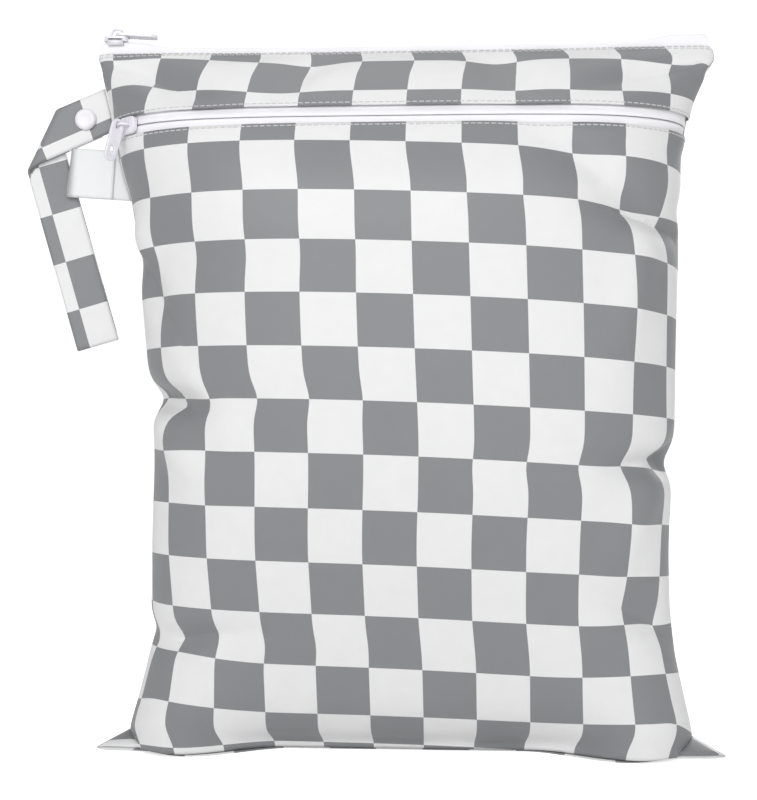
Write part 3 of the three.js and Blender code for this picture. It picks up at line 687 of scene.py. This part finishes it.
# %% [markdown]
# ## Zipper tapes and coils
# These are reverse coil zippers: the smooth side of the tape faces out and the coil lies behind it. The
# tape rises a little over the coil and turns down into the slit, which is all that shows from outside.

# %% Zippers
SLIT = 0.5
COIL_RISE = 0.3
TAPE_SHOWN_THICK = 0.6
POCKET_TAPE_END = 0.4


def tape_offset(from_slit):
    """The tape's face: flat under the hem, raised over the coil, turned down at the slit."""
    raised = COIL_RISE * (1 - smooth(2.4, 3.2, from_slit))
    turned = 0.4 * (1 - smooth(0, 0.6, from_slit))
    return -GAP / 2 + raised - turned


def pocket_tape(name, v_low, v_high, node):
    bm = flat_grid(-HALF + POCKET_TAPE_END, HALF - POCKET_TAPE_END, v_low, v_high, 0.8)
    piece = new_piece(name, bm, tape_white)
    bend(piece, lambda u, v, z: on_bag(front_face, u, v, tape_offset(np.abs(v - POCKET_ZIP_AT))))
    thicken(piece, TAPE_SHOWN_THICK)
    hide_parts(node)
    return piece


pocket_tape("pocket_tape_low", POCKET_HEM - TAPE_UNDER_HEM, POCKET_ZIP_AT - SLIT / 2, "pocket_zip_lower_tape")
pocket_tape("pocket_tape_high", POCKET_ZIP_AT + SLIT / 2, UPPER_HEM + TAPE_UNDER_HEM, "pocket_zip_upper_tape")


TAPE_ROUNDING = 6.0


def top_tape_shown(u):
    more = smooth(0.7, 0.86, np.abs(u) / HALF)
    return TOP_TAPE_SHOWN + (TOP_TAPE_SHOWN_AT_ENDS - TOP_TAPE_SHOWN) * more


def top_tape(name, face, node):
    bm = flat_grid(-HALF + TOP_TAPE_END, HALF - TOP_TAPE_END, -TAPE_UNDER_HEM, TOP_TAPE_SHOWN, 1.0)
    if face["facing"] > 0:
        bmesh.ops.reverse_faces(bm, faces=bm.faces)
    piece = new_piece(name, bm, tape_white)

    def place(u, above, z):
        past = np.clip((np.abs(u) - (HALF - TOP_TAPE_END - TAPE_ROUNDING)) / TAPE_ROUNDING, 0, 1)
        rounded = 0.2 + 0.8 * np.sqrt(1 - past ** 2)
        above = np.where(above > 0, above / TOP_TAPE_SHOWN * top_tape_shown(u) * rounded, above)
        return on_bag(face, u, BAG_HEIGHT + above, -GAP / 2)

    bend(piece, place)
    thicken(piece, TAPE_SHOWN_THICK)
    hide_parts(node)
    return piece


top_tape("top_tape_front", front_face, "top_zip_front_tape")
top_tape("top_tape_back", back_face, "top_zip_back_tape")

# %% [markdown]
# ## Strap
# The strap is one long band: out of the seam, folded down at a slant, doubled at the bottom, up again
# behind itself and back to the snap. Each fold wraps the band round a small cylinder.

# %% Strap and tag
STRAP_TO_FOLD = 33.5
STRAP_HANG = 110.0
STRAP_TAIL = 27.0
STRAP_FOLD_LEAN = 48.3
LAYER = CLOTH + GAP
TAG_AT = 287.0
TAG_WIDTH = 24.0
TAG_LENGTH = 23.0
TAG_SHORT = 2.5
TAG_THICK = 1.0
TAG_SLOPE = -4.0


def fold_over(x, y, z, line_x, far_x, far_z, radius, toward_back):
    """Folds a flat band about a line in its plane: the far side wraps round and comes back."""
    far = (x - line_x) * far_x + z * far_z
    angle = np.clip(far / radius, 0, math.pi)
    arm = radius - toward_back * y
    rest = np.maximum(0, far - math.pi * radius)
    along = arm * np.sin(angle) - rest
    folded = far > 0
    return (
        np.where(folded, x + (along - far) * far_x, x),
        np.where(folded, toward_back * (radius - arm * np.cos(angle)), y),
        np.where(folded, z + (along - far) * far_z, z),
    )


def strap_bend(x, y, z):
    x, y, z = fold_over(x, y, z, STRAP_TO_FOLD + STRAP_HANG, 1, 0, LAYER / 2, 1)
    lean = math.radians(STRAP_FOLD_LEAN)
    return fold_over(x, y, z, STRAP_TO_FOLD, math.cos(lean), -math.sin(lean), LAYER * 1.5, 1)


def tag_bend(x, y, z):
    return fold_over(x, y, z, TAG_LENGTH, 1, 0, (TAG_THICK + GAP) / 2, -1)


def seam_start(at, slope, across):
    """How far along its heading a band's first edge lies, because the seam isn't square to the band."""
    along_band, across_band = heading(slope)
    root = left_seam(at)
    place = at - across
    for _ in range(4):
        place = place + (left_seam_many(place) - root) @ across_band - across
    return (left_seam_many(place) - root) @ along_band


def left_seam_many(at):
    edge = np.full_like(at, -HALF)
    low = on_bag(front_face, edge, at - 1, 0)
    high = on_bag(front_face, edge, at + 1, 0)
    up = (high - low) / np.linalg.norm(high - low, axis=-1, keepdims=True)
    out = np.stack([-up[:, 2], np.zeros_like(at), up[:, 0]], -1)
    return on_bag(front_face, edge, at, 0) + out * (SKIN + SEWN_GAP)


def place_band(at, slope, wide, bend_band, lift):
    """Gives a function that puts a flat band, x along it and y across it, on the left seam."""
    along_band, across_band = heading(slope)
    root = left_seam(at)

    def place(x, across, z):
        start = np.where(x < wide, seam_start(at, slope, across) * (1 - x / wide), 0)
        bx, by, bz = bend_band(x + start, -(z + lift), across)
        return root + bx[:, None] * along_band + bz[:, None] * across_band + by[:, None] * np.array([0, 1, 0])

    return place


def strap_print(x, across):
    let_out = 5.3 * smooth(30, 55, x)
    return (across - 4.0) / CHECK, (x + 12 - let_out) / CHECK + 1


def band(name, length, wide, at, slope, bend_band, thick, cloth, prints, node):
    bm = flat_grid(0, length, -wide / 2, wide / 2, 1.5)
    piece = new_piece(name, bm, cloth)
    bend(piece, place_band(at, slope, wide, bend_band, thick / 2), prints)
    thicken(piece, thick)
    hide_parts(node)
    print(name, len(piece.data.polygons), "faces")
    return piece


strap_length = STRAP_TO_FOLD + 2 * STRAP_HANG + STRAP_TAIL
band(
    "strap_cloth", strap_length, STRAP_WIDTH, STRAP_AT, STRAP_SLOPE, strap_bend, CLOTH, checked,
    strap_print, "strap",
)
tag_length = 2 * TAG_LENGTH - TAG_SHORT
band(
    "blank_tag", tag_length, TAG_WIDTH, TAG_AT, TAG_SLOPE, tag_bend, TAG_THICK, tag_white,
    None, "side_tag",
)

# %% [markdown]
# ## Sliders
# A slider is a die-cast body with rounded edges and a bail, the small hoop that holds the pull. The body is a
# block with bevelled edges. The bail is one wire section spun through a half turn and drawn down to its feet.

# %% Sliders
SLIDER_LENGTH = 12.0
SLIDER_WIDTH = 8.4
SLIDER_THICK = 2.6
SLIDER_ROUNDING = 0.5
SLIDER_CORNER = 2.6
CHEEK_SHORT = 4.2
BAIL_FOOT_SUNK = 0.8
BAIL_RADIUS = 3.0
BAIL_WIRE = 1.3
CROSSBAR = 1.3
BAIL_HEIGHT = SLIDER_THICK + CROSSBAR
POCKET_SLIDER_IN = 26.0
TOP_SLIDER_IN = 13.0


def basis(along, across, out, centre):
    """A matrix that puts a part's own x, y and z in millimetres on three directions of the sheet."""
    turn = Matrix([along, across, out]).transposed().to_4x4()
    place = Matrix.Translation(Vector(centre) + Vector(frame_shift))
    return Matrix.Scale(MM, 4) @ place @ turn


def round_edges(bm, width, segments):
    """Rounds every sharp edge of a bmesh."""
    sharp = [edge for edge in bm.edges if edge.calc_face_angle(0) > 0.6]
    bmesh.ops.bevel(
        bm, geom=sharp, offset=width, affect="EDGES", segments=segments, profile=0.5, material=-1,
    )


def slider(name, matrix, node, cheek_depth=0.0, cheek_gap=0.0):
    bm = bmesh.new()
    bmesh.ops.create_cube(bm, size=1)
    bmesh.ops.scale(bm, vec=(SLIDER_LENGTH, SLIDER_WIDTH, SLIDER_THICK), verts=bm.verts)
    bmesh.ops.translate(bm, vec=(0, 0, SLIDER_THICK / 2), verts=bm.verts)
    corners = [edge for edge in bm.edges if abs(edge.verts[0].co.z - edge.verts[1].co.z) > 1]
    bmesh.ops.bevel(
        bm, geom=corners, offset=SLIDER_CORNER, affect="EDGES", segments=5, profile=0.5, material=-1,
    )
    round_edges(bm, SLIDER_ROUNDING, 3)
    ring = bmesh.ops.create_circle(bm, radius=BAIL_WIRE / 2, segments=12)["verts"]
    bmesh.ops.rotate(bm, verts=ring, cent=(0, 0, 0), matrix=Matrix.Rotation(math.pi, 3, "X"))
    bmesh.ops.translate(bm, vec=(BAIL_RADIUS, 0, BAIL_HEIGHT), verts=ring)
    feet = [edge for edge in bm.edges if edge.verts[0] in ring and edge.verts[1] in ring]
    spun = bmesh.ops.spin(
        bm, geom=feet, cent=(0, 0, BAIL_HEIGHT), axis=(0, 1, 0), angle=-math.pi, steps=16,
        use_merge=False, use_normal_flip=False, use_duplicate=False,
    )["geom_last"]
    for end in (feet, [part for part in spun if isinstance(part, bmesh.types.BMEdge)]):
        made = bmesh.ops.extrude_edge_only(bm, edges=end)["geom"]
        lowered = [part for part in made if isinstance(part, bmesh.types.BMVert)]
        bmesh.ops.translate(bm, vec=(0, 0, -CROSSBAR - BAIL_FOOT_SUNK), verts=lowered)
        bmesh.ops.contextual_create(bm, geom=[part for part in made if isinstance(part, bmesh.types.BMEdge)])
    for side in (-1, 1) if cheek_depth else ():
        thick = (SLIDER_WIDTH - cheek_gap) / 2
        tall = cheek_depth + SLIDER_THICK / 2
        cheek = bmesh.ops.create_cube(bm, size=1)["verts"]
        bmesh.ops.scale(bm, vec=(SLIDER_LENGTH - CHEEK_SHORT, thick, tall), verts=cheek)
        bmesh.ops.translate(
            bm, vec=(0, side * (SLIDER_WIDTH - thick) / 2, tall / 2 - cheek_depth), verts=cheek
        )
    bmesh.ops.recalc_face_normals(bm, faces=bm.faces)
    bmesh.ops.transform(bm, matrix=matrix, verts=bm.verts)
    piece = new_piece(name, bm, lacquer)
    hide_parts(node)
    print(name, len(piece.data.polygons), "faces")
    return piece


def unit(vector):
    return vector / np.linalg.norm(vector)


slider_u = -(HALF - POCKET_SLIDER_IN)
zip_ends = on_bag(front_face, np.array([slider_u - 1, slider_u + 1]), POCKET_ZIP_AT, 0)
zip_along = zip_ends[1] - zip_ends[0]
zip_out = unit(on_lattice(front_face["normals"], slider_u, POCKET_ZIP_AT))
zip_across = unit(np.cross(zip_out, zip_along))
zip_along = unit(np.cross(zip_across, zip_out))
pocket_seat = on_bag(front_face, slider_u, POCKET_ZIP_AT, GAP)
slider(
    "pocket_slider", basis(zip_along, zip_across, zip_out, pocket_seat), "pocket_zip_slider",
)
top_u = -(HALF - TOP_SLIDER_IN)
top_hem = on_bag(front_face, top_u, BAG_HEIGHT, 0)
top_next = on_bag(front_face, top_u + 1, BAG_HEIGHT, 0)
top_along = unit(np.array([top_next[0] - top_hem[0], 0, top_next[2] - top_hem[2]]))
top_out = unit(np.cross(top_along, [0, 1, 0]))
top_seat = np.array([top_hem[0], 0, top_hem[2] + float(top_tape_shown(np.array(top_u))) + GAP])
slider(
    "top_slider", basis(top_along, np.array([0.0, 1.0, 0.0]), top_out, top_seat), "top_zip_slider",
    TOP_TAPE_SHOWN / 2, 2 * abs(top_hem[1]),
)

# %% [markdown]
# ## Pulls
# A pull is a flat plate with round ends, an eye for the bail and a round-ended hole for the finger. Three
# loops of edges are filled as one face, the face is given its thickness, and its rims are bevelled.

# %% Pulls
PULL_LENGTH = 21.0
PULL_WIDTH = 6.5
PULL_THICK = 1.6
EYE_SIZE = 2.5
EYE_LENGTH = 3.6
GRIP_HOLE_LENGTH = 4.0
GRIP_HOLE_WIDTH = 2.2
PULL_TILT = 14.0
PULL_DROP = 3.0
BAIL_WIDTH = 1.4
PULL_RIM = 0.4


def stadium(bm, x_low, x_high, width, segments):
    """A loop of edges with round ends between two places on x."""
    radius = width / 2
    made = bmesh.ops.create_circle(bm, radius=radius, segments=segments)["verts"]
    for vert in made:
        vert.co.x += x_high - radius if vert.co.x > 0 else x_low + radius
    return made


def pull(name, matrix, body, node):
    bm = bmesh.new()
    start = -CROSSBAR / 2
    end = start + PULL_LENGTH
    grip_end = end - PULL_WIDTH / 2
    stadium(bm, start, end, PULL_WIDTH, 30)
    stadium(bm, -start, -start + EYE_LENGTH, EYE_SIZE, 14)
    stadium(bm, grip_end - GRIP_HOLE_LENGTH, grip_end, GRIP_HOLE_WIDTH, 14)
    bmesh.ops.triangle_fill(bm, use_beauty=True, use_dissolve=False, edges=bm.edges)
    top = bmesh.ops.extrude_face_region(bm, geom=bm.faces[:])["geom"]
    lifted = [part for part in top if isinstance(part, bmesh.types.BMVert)]
    bmesh.ops.translate(bm, vec=(0, 0, PULL_THICK), verts=lifted)
    bmesh.ops.translate(bm, vec=(0, 0, -PULL_THICK / 2), verts=bm.verts)
    bmesh.ops.recalc_face_normals(bm, faces=bm.faces)
    bmesh.ops.transform(bm, matrix=matrix, verts=bm.verts)
    piece = new_piece(name, bm, lacquer, body=body, smooth_shaded=False)
    rim = piece.modifiers.new("rim", "BEVEL")
    rim.width = PULL_RIM * MM
    rim.segments = 3
    rim.limit_method = "ANGLE"
    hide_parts(node)
    print(name, "rides", body)
    return piece


bar = pocket_seat + zip_out * (BAIL_HEIGHT + BAIL_RADIUS)
tilt = Matrix.Rotation(math.radians(-PULL_TILT), 3, Vector(zip_along))
hang_down = np.array(tilt @ Vector(-zip_across))
hang_at = bar - hang_down * (CROSSBAR / 2 + GAP + BAIL_WIDTH / 2)
pull(
    "pocket_pull_plate", basis(hang_down, np.cross(zip_along, hang_down), zip_along, hang_at),
    "pocket_pull", "pocket_zip_pull",
)
drop = Matrix.Rotation(math.radians(PULL_DROP), 3, Vector((0, 1, 0)))
lie = np.array(drop @ Vector(top_along))
lie_out = unit(np.cross(lie, [0, 1, 0]))
pull(
    "top_pull_plate", basis(lie, np.cross(lie_out, lie), lie_out, top_seat + top_out * BAIL_HEIGHT),
    "top_pull", "top_zip_pull",
)

# %% [markdown]
# ## Snap
# The cap is moulded resin, a low dome with a faint dish in its middle. Its half section is spun a full turn.

# %% Snap cap
SNAP_DIAMETER = 10.5
SNAP_HEIGHT = 2.2
POST_RADIUS = 1.5
POST_LENGTH = 5.0


def snap_cap():
    bm = bmesh.new()
    rim = SNAP_DIAMETER / 2
    face = -(CLOTH / 2 + GAP)
    crown = face - SNAP_HEIGHT
    section = [
        (0, crown + 0.35), (rim * 0.5, crown + 0.3), (rim * 0.62, crown), (rim * 0.76, crown + 0.08),
        (rim * 0.9, crown + 0.5), (rim, crown + 1.3), (rim, face - 0.2), (rim - 0.3, face),
        (POST_RADIUS, face),
        (POST_RADIUS, face + POST_LENGTH), (0, face + POST_LENGTH),
    ]
    verts = [bm.verts.new((r, y, 0)) for r, y in section]
    edges = [bm.edges.new(pair) for pair in zip(verts, verts[1:])]
    bmesh.ops.spin(
        bm, geom=verts + edges, cent=(0, 0, 0), axis=(0, 1, 0), angle=math.tau, steps=48,
        use_merge=True, use_normal_flip=False, use_duplicate=False,
    )
    bmesh.ops.remove_doubles(bm, verts=bm.verts, dist=1e-4)
    bmesh.ops.recalc_face_normals(bm, faces=bm.faces)
    level = np.identity(3)
    bmesh.ops.transform(bm, matrix=basis(level[0], level[1], level[2], snap_centre), verts=bm.verts)
    piece = new_piece("snap_button", bm, resin)
    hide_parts("snap_cap")
    return piece


print("snap", len(snap_cap().data.polygons), "faces")

# %% [markdown]
# ## Stitching
# Each row of topstitching is one thread that shows as short raised stitches with a small gap between them.
# A stitch is a bevelled block, laid along its row on the cloth.

# %% Stitches
STITCH = 2.3
STITCH_PITCH = 3.1
STITCH_WIDE = 0.55
STITCH_HIGH = 0.35
STITCH_ROUNDING = 0.12
FROM_HEM = 1.3
SECOND_FROM_HEM = 4.2
ROW_END = 3.0


def stitch_row(name, places, outs):
    """One piece of stitches along a row of places, given with their outward directions."""
    bm = bmesh.new()
    runs = np.linalg.norm(np.diff(places, axis=0), axis=1)
    reached = np.concatenate([[0], np.cumsum(runs)])
    for start in np.arange(0.6, reached[-1] - STITCH, STITCH_PITCH):
        both = (start, start + STITCH)
        ends = np.stack([np.interp(both, reached, places[:, k]) for k in range(3)], -1)
        out = outs[np.searchsorted(reached, start)]
        along = unit(ends[1] - ends[0])
        across = unit(np.cross(out, along))
        made = bmesh.ops.create_cube(bm, size=1)["verts"]
        shape = Matrix.Diagonal((STITCH, STITCH_WIDE, STITCH_HIGH, 1))
        middle = (ends[0] + ends[1]) / 2
        bmesh.ops.transform(
            bm, matrix=basis(along, across, unit(np.cross(along, across)), middle) @ shape, verts=made,
        )
    bmesh.ops.bevel(
        bm, geom=bm.edges[:], offset=STITCH_ROUNDING * MM, affect="EDGES", segments=1,
        profile=0.5, material=-1,
    )
    return new_piece(name, bm, thread_grey)


def hem_stitches(name, face, v, hems):
    u = np.arange(-HALF + ROW_END, HALF - ROW_END + 0.5, 0.5)
    offset = skin_offset(u, v, hems) + STITCH_HIGH * 0.15
    outs = on_lattice(face["normals"], u, np.full_like(u, v))
    return stitch_row(name, on_bag(face, u, v, offset), outs)


hem_stitches("pocket_hem_stitches", front_face, POCKET_HEM - FROM_HEM, [POCKET_HEM])
hem_stitches("upper_hem_stitches", front_face, UPPER_HEM + FROM_HEM, [UPPER_HEM])
hem_stitches("top_hem_stitches", front_face, BAG_HEIGHT - FROM_HEM, [BAG_HEIGHT])
hem_stitches("top_hem_second_stitches", front_face, BAG_HEIGHT - SECOND_FROM_HEM, [BAG_HEIGHT])
hem_stitches("back_hem_stitches", back_face, BAG_HEIGHT - FROM_HEM, [BAG_HEIGHT])

# %% [markdown]
# ## Studio
# A round white sweep stands in for the photographer's floor and backdrop, so that no horizon shows from
# any side. It glows a little, which keeps it as bright as the white behind the bag.

# %% Sweep, lights and camera
SWEEP_RADIUS = 2.6
COVE = 0.9
SWEEP_GLOW = 0.09
SEEN_GLOW = 0.62


def studio_sweep():
    bm = bmesh.new()
    points = [(0, 0), (SWEEP_RADIUS - COVE, 0)]
    for k in range(1, 13):
        angle = math.radians(7.5 * k)
        points.append((SWEEP_RADIUS - COVE + COVE * math.sin(angle), COVE - COVE * math.cos(angle)))
    points.append((SWEEP_RADIUS, 2.0))
    verts = [bm.verts.new((x, 0, z)) for x, z in points]
    edges = [bm.edges.new(pair) for pair in zip(verts, verts[1:])]
    bmesh.ops.spin(
        bm, geom=verts + edges, cent=(0, 0, 0), axis=(0, 0, 1), angle=math.tau, steps=64,
        use_merge=True, use_normal_flip=False, use_duplicate=False,
    )
    bmesh.ops.remove_doubles(bm, verts=bm.verts, dist=1e-5)
    mesh = bpy.data.meshes.new("studio_sweep")
    bm.to_mesh(mesh)
    bm.free()
    sweep = bpy.data.objects.new("studio_sweep", mesh)
    bpy.context.scene.collection.objects.link(sweep)
    made, tree, shader = material("studio white")
    shader.inputs["Base Color"].default_value = (0.9, 0.9, 0.9, 1)
    shader.inputs["Roughness"].default_value = 0.9
    shader.inputs["Emission Color"].default_value = (1, 1, 1, 1)
    path = tree.nodes.new("ShaderNodeLightPath")
    glow = math_node(tree, "MULTIPLY_ADD", path.outputs["Is Camera Ray"], SEEN_GLOW - SWEEP_GLOW, SWEEP_GLOW)
    tree.links.new(glow, shader.inputs["Emission Strength"])
    mesh.materials.append(made)
    mesh.shade_smooth()
    return sweep


def area_light(name, place, target, size, power):
    data = bpy.data.lights.new(name, "AREA")
    data.shape = "DISK"
    data.size = size
    data.energy = power
    lamp = bpy.data.objects.new(name, data)
    lamp.location = place
    lamp.rotation_euler = (Vector(target) - Vector(place)).to_track_quat("-Z", "Y").to_euler()
    bpy.context.scene.collection.objects.link(lamp)
    return lamp


def photograph_camera():
    data = bpy.data.cameras.new("photograph")
    data.lens = 56.66
    data.sensor_width = 36
    camera = bpy.data.objects.new("photograph", data)
    camera.location = (0.03589, -0.612, 0.169)
    camera.rotation_euler = (math.radians(90), 0, math.asin(0.0506))
    bpy.context.scene.collection.objects.link(camera)
    bpy.context.scene.camera = camera
    return camera


studio_sweep()
target = (0.02, 0, 0.17)
area_light("key", (-0.35, -1.5, 0.95), target, 1.1, 12.5)
area_light("fill", (0.8, -1.3, 0.5), target, 1.2, 3.2)
area_light("top", (0.0, 0.1, 1.8), target, 1.4, 7)
area_light("behind", (0.6, 1.5, 0.9), target, 1.3, 9)
world = bpy.data.worlds.new("studio air")
world.use_nodes = True
world.node_tree.nodes["Background"].inputs["Color"].default_value = (1, 1, 1, 1)
world.node_tree.nodes["Background"].inputs["Strength"].default_value = 0.17
bpy.context.scene.world = world
bpy.context.scene.view_settings.view_transform = "Standard"
photograph_camera()
